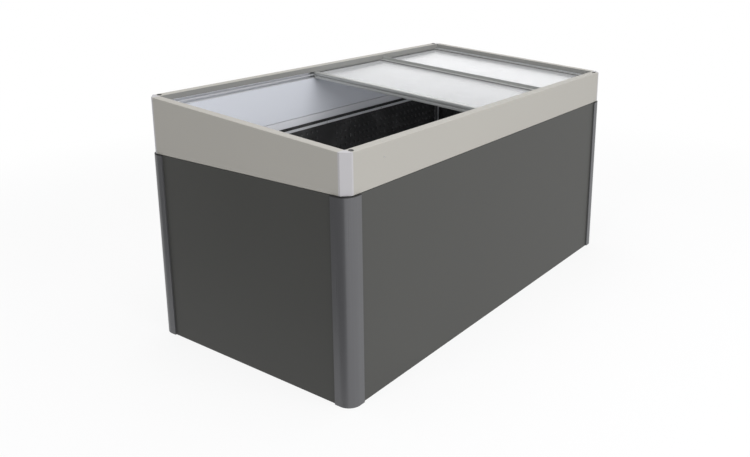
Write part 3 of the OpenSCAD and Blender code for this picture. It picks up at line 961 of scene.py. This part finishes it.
@dataclass(frozen=True)
class VoleMesh:
    """Welded mesh of round wires in two layers on the bottom of the bed."""

    pitch: float = 25.0 * MM
    wire_r: float = 0.75 * MM
    sides: int = 8

    def build(self, wardrobe: Wardrobe) -> None:
        """Models one wire each way and repeats it."""
        low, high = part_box("vole_mesh")
        size = high - low
        across = self._wires("vole_wires_across", size.y, size.x, low.z + self.wire_r, 0)
        along = self._wires("vole_wires_along", size.x, size.y, low.z + 3 * self.wire_r, 1)
        choose(across, along)
        bpy.ops.object.join()
        hand_over(rename(across, "vole_wires"), "bed", Slot.GALVANISED_WIRE, wardrobe, ["vole_mesh"], 60.0)

    def _wires(self, name: str, length: float, spread: float, z: float, turns: int) -> bpy.types.Object:
        """Lays parallel wires.

        Args:
            name: Name of the layer.
            length: Length of each wire.
            spread: Width that the layer covers.
            z: Height of the wires' middle.
            turns: Quarter turns from wires along Y.

        Returns:
            The layer of wires.
        """
        put_down()
        bpy.ops.mesh.primitive_cylinder_add(
            vertices=self.sides, radius=self.wire_r, depth=length - self.wire_r, rotation=(math.pi / 2, 0, 0)
        )
        wire = bpy.context.object
        settle(wire)
        with editing(wire):
            pick(wire, "faces", lambda face: abs(face.normal.y) > 0.9)
            bpy.ops.mesh.inset(thickness=self.wire_r * 0.5, depth=self.wire_r * 0.5)
        gaps = round(spread / self.pitch)
        step = (spread - 2 * self.wire_r) / gaps
        turn = quarter_turn(turns)
        places = [turn @ Matrix.Translation(((i - gaps / 2) * step, 0, z)) for i in range(gaps + 1)]
        return repeat(name, wire, places)


@dataclass(frozen=True)
class StuddedLiner:
    """Drainage membrane that lines the bed: rows of shallow studs below a plain upper band."""

    pitch: float = 36.0 * MM
    stud_depth: float = 6.0 * MM
    sheet: float = 1.0 * MM
    corner_r: float = 20.0 * MM
    plain_top: float = 30.0 * MM

    def build(self, wardrobe: Wardrobe) -> None:
        """Makes the four sides and the four rounded corners."""
        low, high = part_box("liner")
        for turns, name in enumerate(("right", "back", "left", "front")):
            reach, half = (high.x, high.y) if turns % 2 == 0 else (high.y, high.x)
            side = self._side(2 * (half - self.corner_r), low.z, high.z)
            side.data.transform(quarter_turn(turns) @ Matrix.Translation((reach, 0, 0)))
            hand_over(rename(side, f"liner_{name}"), "bed", Slot.BLACK_LINER, wardrobe, ["liner"], 50.0)
        corner = self._corner(low.z, high.z)
        x, y = high.x - self.corner_r, high.y - self.corner_r
        quadrants = ((1, 1), (-1, 1), (-1, -1), (1, -1))
        places = [
            Matrix.Translation((sx * x, sy * y, 0)) @ quarter_turn(turns)
            for turns, (sx, sy) in enumerate(quadrants)
        ]
        corners = repeat("liner_corners", corner, places)
        hand_over(corners, "bed", Slot.BLACK_LINER, wardrobe, ["liner"], 40.0)

    def _side(self, length: float, low: float, high: float) -> bpy.types.Object:
        """One side, its outer face at x = 0 and its length along Y.

        Args:
            length: Length between the corners.
            low: Height of the lower edge.
            high: Height of the upper edge.

        Returns:
            The side's sheet with its studs.
        """
        columns = round(length / self.pitch)
        rows = round((high - low - self.plain_top) / self.pitch)
        wide, tall = length / columns, (high - low - self.plain_top) / rows
        side = self._stud(wide, tall, low)
        for count, offset in ((columns, (0, wide, 0)), (rows, (0, 0, tall))):
            modify(
                side, "ARRAY", count=count, use_relative_offset=False, use_constant_offset=True,
                constant_offset_displace=offset, use_merge_vertices=True, merge_threshold=0.05 * MM,
            )
        side.data.transform(Matrix.Translation((0, -length / 2, 0)))
        top = high - self.plain_top - TOUCHING
        with editing(side, "EDGE"):
            pick(side, "edges", edges_where(lambda place: place.z > top))
            push_edges((0, 0, self.plain_top))
        self._flatten_at_tie(side, (1 + columns % 2 / 2) * wide + TOUCHING)
        modify(side, "SOLIDIFY", thickness=self.sheet, offset=1.0)
        with editing(side):
            turn_outwards()
        side.data.transform(Matrix.Translation((-self.sheet, 0, 0)))
        return side

    def _stud(self, wide: float, tall: float, low: float) -> bpy.types.Object:
        """One stud in its rectangle of sheet, seen from the soil as a round hollow.

        Args:
            wide: The rectangle's width along Y.
            tall: Its height.
            low: Height of its lower edge.

        Returns:
            A surface without thickness.
        """
        put_down()
        bpy.ops.mesh.primitive_plane_add(size=1.0, rotation=(0, -math.pi / 2, 0))
        stud = bpy.context.object
        stud.scale = (tall, wide, 1.0)
        stud.location = (0, wide / 2, low + tall / 2)
        settle(stud)
        with editing(stud):
            pick_all()
            bpy.ops.mesh.subdivide(number_cuts=2)
            middle = Vector((0, wide / 2, low + tall / 2))
            pick(stud, "faces", lambda face: (face.calc_center_median() - middle).length < AT_AXIS)
            bpy.ops.transform.resize(value=(1.0, 1.5, 1.5), center_override=middle)
        with editing(stud, "VERT"):
            side = min(wide, tall)
            pick(stud, "verts", lambda v: (v.co - middle).length < side * 0.45)
            bpy.ops.mesh.bevel(affect="VERTICES", offset=side * 0.145, segments=1)
        with editing(stud):
            pick(stud, "faces", lambda face: (face.calc_center_median() - middle).length < AT_AXIS)
            bpy.ops.mesh.inset(thickness=self.pitch * 0.05, depth=-self.stud_depth * 0.75)
            bpy.ops.mesh.inset(thickness=self.pitch * 0.08, depth=-self.stud_depth * 0.25)
        return stud

    def _flatten_at_tie(self, side: bpy.types.Object, reach: float) -> None:
        """Presses the studs flat to a reach from the side's middle, where a stiffener can stand behind it.

        Args:
            side: The side's surface.
            reach: Distance from the middle that is pressed.
        """
        with editing(side, "VERT"):
            pick(side, "verts", lambda v: abs(v.co.y) < reach)
            bpy.ops.transform.resize(value=(0.0, 1.0, 1.0), center_override=(0, 0, 0))

    def _corner(self, low: float, high: float) -> bpy.types.Object:
        """A plain quarter cylinder between two sides, in the corner towards +X and +Y.

        Args:
            low: Height of the lower edge.
            high: Height of the upper edge.

        Returns:
            The corner, round the origin.
        """
        put_down()
        radius = self.corner_r - self.sheet
        bpy.ops.mesh.primitive_plane_add(size=1.0, rotation=(math.pi / 2, 0, 0))
        corner = bpy.context.object
        corner.scale = (self.sheet, high - low, 1.0)
        corner.location = (radius - self.sheet / 2, 0, (low + high) / 2)
        settle(corner)
        with editing(corner):
            pick_all()
            bpy.ops.mesh.spin(steps=10, angle=math.pi / 2, center=(0, 0, 0), axis=(0, 0, 1), dupli=False)
            turn_outwards()
        return corner


# ---- lids


@dataclass(frozen=True)
class LidBar:
    """An extruded bar across a lid, with rounded edges, pane slots and perhaps a finger pull on top.

    Its slots are named by their sides, -1 and 1 along X.
    """

    node: str
    slots: tuple[int, ...]
    pull: float
    height: float = 13.0 * MM
    slot_top: float = 2.0 * MM
    slot_height: float = 6.0 * MM
    slot_depth: float = 9.0 * MM
    pull_thickness: float = 3.0 * MM
    edge: float = 0.8 * MM

    @property
    def width(self) -> float:
        """Width along X."""
        low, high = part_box(self.node)
        return high.x - low.x

    def model(self) -> bpy.types.Object:
        """Models the bar, drawn out along the slope from its section.

        Returns:
            The bar in its place.
        """
        low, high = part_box(self.node)
        rise = math.sin(SLOPE.angle)
        length = (high.y - low.y - (self.height + self.pull) * rise) / math.cos(SLOPE.angle)
        bar = self._section()
        with editing(bar):
            pick_all()
            push((0, length, 0))
            pick_all()
            bpy.ops.mesh.dissolve_limited(angle_limit=math.radians(1))
            turn_outwards()
        self._round_edges(bar)
        front_z = high.z - self.pull * math.cos(SLOPE.angle) - length * rise
        front_y = low.y + self.pull * rise
        bar.data.transform(Matrix.Translation((low.x, front_y, front_z)) @ SLOPE.turn())
        return bar

    def _section(self) -> bpy.types.Object:
        """Cuts the section in X and Z.

        Returns:
            The flat section at y = 0, its top left corner at the origin.
        """
        put_down()
        bpy.ops.mesh.primitive_plane_add(size=1.0, rotation=(math.pi / 2, 0, 0))
        bar = bpy.context.object
        tall = self.height + self.pull
        bar.scale = (self.width, tall, 1.0)
        bar.location = (self.width / 2, 0, self.pull - tall / 2)
        settle(bar)
        cuts = [((0, 0, -self.slot_top), UP), ((0, 0, -self.slot_top - self.slot_height), UP)]
        if self.pull:
            cuts += [((0, 0, 0), UP), ((self.width - self.pull_thickness, 0, 0), (1, 0, 0))]
        cuts += [((self._slot_edge(side), 0, 0), (1, 0, 0)) for side in self.slots]
        with editing(bar):
            for place, normal in cuts:
                pick_all()
                bpy.ops.mesh.bisect(plane_co=place, plane_no=normal)
            pick(bar, "faces", lambda face: self._is_open(face.calc_center_median()))
            bpy.ops.mesh.delete(type="FACE")
        return bar

    def _slot_edge(self, side: int) -> float:
        """x of a slot's bottom."""
        return self.width - self.slot_depth if side > 0 else self.slot_depth

    def _is_open(self, centre: Vector) -> bool:
        """Whether a patch of the section lies in a slot, or beside the finger pull.

        Args:
            centre: The patch's middle.

        Returns:
            True where there is no metal.
        """
        in_slot_height = -self.slot_top - self.slot_height < centre.z < -self.slot_top
        in_slot = any((centre.x - self._slot_edge(side)) * side > 0 for side in self.slots)
        beside_pull = centre.z > 0 and centre.x < self.width - self.pull_thickness
        return (in_slot_height and in_slot) or beside_pull

    def _round_edges(self, bar: bpy.types.Object) -> None:
        """Rounds the long outer edges.

        Args:
            bar: The drawn-out bar.
        """
        at_outside = edges_where(self._is_outside)
        with editing(bar, "EDGE"):
            pick(bar, "edges", lambda edge: is_long(edge) and at_outside(edge))
            bpy.ops.mesh.bevel(offset=self.edge, segments=2)

    def _is_outside(self, place: Vector) -> bool:
        """Whether a vertex is at an outer corner of the section, or on top of the finger pull.

        Args:
            place: The vertex's place.

        Returns:
            True for a corner to round.
        """
        at_side = place.x < TOUCHING or place.x > self.width - TOUCHING
        at_level = place.z < -self.height + TOUCHING or abs(place.z) < TOUCHING
        return (at_side and at_level) or place.z > self.pull - TOUCHING


@dataclass(frozen=True)
class LidBars:
    """The near, middle and far bar of one lid."""

    level: str
    pull_height: float = 0.0

    def build(self, wardrobe: Wardrobe) -> None:
        """Models the bars; the middle one has the finger pull.

        Args:
            wardrobe: The finishes' materials.
        """
        for place, slots in (("near", (1,)), ("middle", (-1, 1)), ("far", (-1,))):
            node = f"{self.level}_bar_{place}"
            bar = LidBar(node, slots, self.pull_height if place == "middle" else 0.0).model()
            rename(bar, f"{self.level}_extrusion_{place}")
            hand_over(bar, f"{self.level}_lid", Slot.LID_ALUMINIUM, wardrobe, [node])


def is_long(edge: object) -> bool:
    """Whether an edge runs along Y for the length of a bar."""
    first, second = (vertex.co for vertex in edge.verts)
    return abs(first.y - second.y) > 100.0 * MM


# ---- studio


@dataclass(frozen=True)
class Lamp:
    """A soft rectangular light."""

    name: str
    place: Triple
    aim: Triple
    size: tuple[float, float]
    watts: float

    def build(self) -> None:
        """Adds the light to the scene."""
        data = bpy.data.lights.new(self.name, "AREA")
        data.shape = "RECTANGLE"
        data.size, data.size_y = self.size
        data.energy = self.watts
        lamp = bpy.data.objects.new(self.name, data)
        bpy.context.scene.collection.objects.link(lamp)
        lamp.location = self.place
        lamp.visible_camera = False
        lamp.rotation_euler = (Vector(self.aim) - Vector(self.place)).to_track_quat("-Z", "Y").to_euler()


@dataclass(frozen=True)
class Viewpoint:
    """The camera: where it stands and how it is turned, in metres and degrees."""

    place: Triple = (-2.912, -2.110, 1.575)
    azimuth: float = 51.97
    pitch: float = 14.75
    roll: float = 0.64
    lens: float = 38.88
    shift: float = -0.1

    def build(self) -> None:
        """Adds the camera and makes it the scene's own."""
        azimuth, pitch, roll = (math.radians(a) for a in (self.azimuth, self.pitch, self.roll))
        ahead = Vector((
            math.sin(azimuth) * math.cos(pitch),
            math.cos(azimuth) * math.cos(pitch),
            -math.sin(pitch),
        ))
        right = Vector((math.cos(azimuth), -math.sin(azimuth), 0.0))
        up = right.cross(ahead)
        turned_right = math.cos(roll) * right - math.sin(roll) * up
        turned_up = math.sin(roll) * right + math.cos(roll) * up
        data = bpy.data.cameras.new("camera")
        data.lens = self.lens
        data.shift_y = self.shift
        camera = bpy.data.objects.new("camera", data)
        bpy.context.scene.collection.objects.link(camera)
        turn = Matrix((turned_right, turned_up, -ahead)).transposed()
        camera.rotation_mode = "QUATERNION"
        camera.rotation_quaternion = turn.to_quaternion()
        camera.location = self.place
        bpy.context.scene.camera = camera


@dataclass(frozen=True)
class Studio:
    """Pale floor that fades into a white surround, with soft lights."""

    floor_half: float = 40.0
    floor_colour: Colour = (0.86, 0.86, 0.87)
    glow: float = 0.85
    fade_from: float = 1.6
    fade_to: float = 4.0
    surround: float = 0.55
    lamps: tuple[Lamp, ...] = (
        Lamp("top_light", (0.3, 0.2, 4.6), (0.0, 0.0, 0.8), (5.0, 4.0), 85.0),
        Lamp("front_light", (-0.6, -5.2, 2.8), (-0.5, 0.0, 0.6), (4.0, 3.0), 128.0),
        Lamp("left_light", (-3.9, -0.4, 3.5), (-0.9, 0.0, 0.8), (2.0, 2.0), 78.0),
        Lamp("back_light", (4.4, 2.3, 1.8), (0.7, 0.0, 0.94), (3.4, 0.7), 10.5),
    )
    flag_colour: Colour = (0.02, 0.02, 0.02)
    flag_place: Triple = (-4.2, 1.6, 1.0)
    flag_half: tuple[float, float] = (4.0, 3.0)

    def build(self) -> None:
        """Adds the floor, the surround and the lights."""
        self._floor()
        self._flag()
        self._world()
        for lamp in self.lamps:
            lamp.build()
        bpy.context.scene.view_settings.view_transform = "Standard"

    def _floor(self) -> None:
        """Adds the floor, whose own colour gives way to plain white far off."""
        put_down()
        bpy.ops.mesh.primitive_plane_add(size=2 * self.floor_half)
        floor = bpy.context.object
        floor.name = "studio_floor"
        floor.visible_glossy = False
        shader = Shader("studio_floor")
        x, y, _ = shader.axes()
        paint = shader.node("ShaderNodeBsdfDiffuse", inputs={"Color": _rgba(self.floor_colour)})
        glow = shader.node("ShaderNodeEmission", inputs={"Color": _rgba(WHITE)})
        far = (x * x + y * y).ramp(self.fade_from**2, self.fade_to**2) * (1.0 - self.glow) + self.glow
        mixed = shader.node("ShaderNodeMixShader", inputs={0: far, 1: paint.outputs[0], 2: glow.outputs[0]})
        floor.data.materials.append(shader.finish(mixed))

    def _flag(self) -> None:
        """Adds a dark screen that keeps light off the left side, and that the camera doesn't see."""
        put_down()
        bpy.ops.mesh.primitive_plane_add(size=2.0, location=self.flag_place, rotation=(0, math.pi / 2, 0))
        flag = bpy.context.object
        flag.name = "studio_flag"
        flag.scale = (self.flag_half[1], self.flag_half[0], 1.0)
        flag.visible_camera = False
        shader = Shader("studio_flag")
        paint = shader.node("ShaderNodeBsdfDiffuse", inputs={"Color": _rgba(self.flag_colour)})
        flag.data.materials.append(shader.finish(paint))

    def _world(self) -> None:
        """Sets a surround that looks white and lights the object a little less."""
        world = bpy.data.worlds.new("surround")
        world.use_nodes = True
        tree = NodeTree(world.node_tree)
        seen, lit = (
            tree.node("ShaderNodeBackground", inputs={"Color": _rgba(WHITE), "Strength": strength})
            for strength in (1.0, self.surround)
        )
        seen_by_camera = tree.node("ShaderNodeLightPath").outputs["Is Camera Ray"]
        sockets = {0: seen_by_camera, 1: lit.outputs[0], 2: seen.outputs[0]}
        mixed = tree.node("ShaderNodeMixShader", inputs=sockets)
        tree.node("ShaderNodeOutputWorld", inputs={"Surface": mixed.outputs[0]})
        bpy.context.scene.world = world


def main() -> None:
    """Builds the scene round the frame."""
    logging.basicConfig(level=logging.INFO, format="%(name)s: %(message)s")
    Viewpoint().build()
    wardrobe = Wardrobe()
    wardrobe.dress_frame()
    Fasteners().build(wardrobe)
    VoleMesh().build(wardrobe)
    StuddedLiner().build(wardrobe)
    LidBars("upper", pull_height=13.0 * MM).build(wardrobe)
    LidBars("lower").build(wardrobe)
    Studio().build()


if __name__ == "__main__":
    main()
